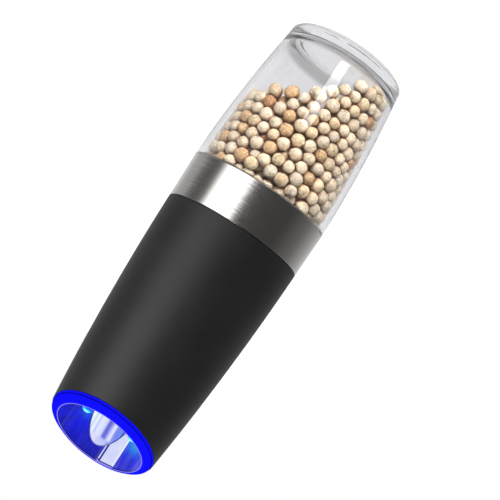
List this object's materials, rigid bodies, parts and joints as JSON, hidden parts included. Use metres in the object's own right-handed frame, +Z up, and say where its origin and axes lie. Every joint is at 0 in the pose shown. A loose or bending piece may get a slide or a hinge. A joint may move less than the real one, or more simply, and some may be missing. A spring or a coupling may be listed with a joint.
{
  "type": "pepper mill",
  "caption": "Battery pepper mill with a clear screw-on jar, steel band, tapered black shell and a slanted, lit outlet.",
  "frame": {"origin": "centre of the jar's foot, on the surface that the mill stands on", "axes": "+Z up along the mill's axis towards the slanted outlet, -Y towards the low side of the slant"},
  "size_m": [0.064, 0.064, 0.2022],
  "materials": {
    "clear_acrylic": "clear, polished",
    "silicone": "matt",
    "brushed_steel": "brushed round the band",
    "black_plastic": "fine moulded grain",
    "grey_plastic": "moulded",
    "screw_steel": "bright zinc",
    "bronze": "machined",
    "ceramic": "fired, unglazed",
    "gear_white": "moulded acetal",
    "motor_steel": "nickel plated",
    "magnet": "sintered",
    "board": "solder mask",
    "cell": "printed-free sleeve",
    "led": "clear lens",
    "cover_white": "glossy, lit blue",
    "soft_touch": "soft-touch coating",
    "light_blue": "translucent, lit",
    "liner_blue": "glossy"
  },
  "bodies": {
    "jar": {"jar": "clear_acrylic"},
    "seal": {"jar_seal": "silicone"},
    "head": {"steel_band": "brushed_steel", "thread_collar": "black_plastic", "grinder_base": "black_plastic", "burr_housing": "black_plastic", "burr_screws": "screw_steel", "burr_stator": "ceramic", "shaft_bush": "bronze", "gear_housing": "grey_plastic", "motor_plate": "screw_steel", "motor_screws": "screw_steel", "motor_can": "motor_steel", "motor_magnets": "magnet", "motor_end_cap": "grey_plastic", "battery_carrier": "black_plastic", "contact_springs": "motor_steel", "contact_plates": "motor_steel", "powder_chutes": "grey_plastic", "circuit_board": "board", "board_parts": "black_plastic", "tilt_switch": "motor_steel", "leds": "led", "led_legs": "motor_steel", "end_cover": "cover_white", "cover_screws": "screw_steel", "battery_1": "cell", "battery_2": "cell", "battery_3": "cell", "battery_4": "cell", "battery_5": "cell", "battery_6": "cell"},
    "sleeve": {"shell": "soft_touch", "light_ring": "light_blue", "outlet_liner": "liner_blue"},
    "drive": {"output_carrier": "screw_steel", "output_pins": "screw_steel", "output_shaft": "screw_steel", "burr_spring": "screw_steel"},
    "rotor": {"burr_rotor": "ceramic"},
    "knob": {"adjust_knob": "grey_plastic"},
    "first_stage": {"first_carrier": "bronze", "first_pins": "screw_steel"},
    "motor_rotor": {"motor_armature": "magnet", "motor_shaft": "screw_steel", "motor_pinion": "bronze"},
    "tilt_ball": {"tilt_ball": "screw_steel"},
    "first_planet_1": {"first_planet_1": "gear_white"},
    "first_planet_2": {"first_planet_2": "gear_white"},
    "first_planet_3": {"first_planet_3": "gear_white"},
    "output_planet_1": {"output_planet_1": "gear_white"},
    "output_planet_2": {"output_planet_2": "gear_white"},
    "output_planet_3": {"output_planet_3": "gear_white"}
  },
  "joints": [
    {"name": "head_lift", "type": "slide", "parent": "jar", "child": "seal", "axis": [0, 0, 1], "range_m": [0, 0.01205]},
    {"name": "head_unscrew", "type": "hinge", "parent": "seal", "child": "head", "pos_m": [0, 0, 0], "axis": [0, 0, 1], "range_deg": [0, 1080]},
    {"name": "sleeve_pull", "type": "slide", "parent": "head", "child": "sleeve", "axis": [0, 0, 1], "range_m": [0, 0.1]},
    {"name": "drive_turn", "type": "hinge", "parent": "head", "child": "drive", "pos_m": [0, 0, 0], "axis": [0, 0, 1], "continuous": true},
    {"name": "rotor_shift", "type": "slide", "parent": "drive", "child": "rotor", "axis": [0, 0, 1], "range_m": [0, 0.00081], "deforming": ["burr_spring"]},
    {"name": "knob_turn", "type": "hinge", "parent": "rotor", "child": "knob", "pos_m": [0, 0, 0], "axis": [0, 0, 1], "range_deg": [0, 360]},
    {"name": "first_stage_turn", "type": "hinge", "parent": "head", "child": "first_stage", "pos_m": [0, 0, 0], "axis": [0, 0, 1], "continuous": true},
    {"name": "motor_turn", "type": "hinge", "parent": "head", "child": "motor_rotor", "pos_m": [0, 0, 0], "axis": [0, 0, 1], "continuous": true},
    {"name": "ball_roll", "type": "slide", "parent": "head", "child": "tilt_ball", "axis": [0, 0, 1], "range_m": [0, 0.0085]},
    {"name": "first_planet_1_spin", "type": "hinge", "parent": "first_stage", "child": "first_planet_1", "pos_m": [0.00675, 0, 0.095], "axis": [0, 0, 1], "continuous": true},
    {"name": "first_planet_2_spin", "type": "hinge", "parent": "first_stage", "child": "first_planet_2", "pos_m": [-0.00337, 0.00585, 0.095], "axis": [0, 0, 1], "continuous": true},
    {"name": "first_planet_3_spin", "type": "hinge", "parent": "first_stage", "child": "first_planet_3", "pos_m": [-0.00337, -0.00585, 0.095], "axis": [0, 0, 1], "continuous": true},
    {"name": "output_planet_1_spin", "type": "hinge", "parent": "drive", "child": "output_planet_1", "pos_m": [0.00675, 0, 0.095], "axis": [0, 0, 1], "continuous": true},
    {"name": "output_planet_2_spin", "type": "hinge", "parent": "drive", "child": "output_planet_2", "pos_m": [-0.00337, 0.00585, 0.095], "axis": [0, 0, 1], "continuous": true},
    {"name": "output_planet_3_spin", "type": "hinge", "parent": "drive", "child": "output_planet_3", "pos_m": [-0.00337, -0.00585, 0.095], "axis": [0, 0, 1], "continuous": true}
  ],
  "couplings": [
    {"joint": "head_lift", "follows": "head_unscrew", "m_per_rad": 0.00063662},
    {"joint": "rotor_shift", "follows": "knob_turn", "m_per_rad": 0.00012732},
    {"joint": "first_stage_turn", "follows": "drive_turn", "ratio": 4.5},
    {"joint": "motor_turn", "follows": "drive_turn", "ratio": 20.25},
    {"joint": "first_planet_1_spin", "follows": "drive_turn", "ratio": -12.6},
    {"joint": "first_planet_2_spin", "follows": "drive_turn", "ratio": -12.6},
    {"joint": "first_planet_3_spin", "follows": "drive_turn", "ratio": -12.6},
    {"joint": "output_planet_1_spin", "follows": "drive_turn", "ratio": -2.8},
    {"joint": "output_planet_2_spin", "follows": "drive_turn", "ratio": -2.8},
    {"joint": "output_planet_3_spin", "follows": "drive_turn", "ratio": -2.8}
  ]
}
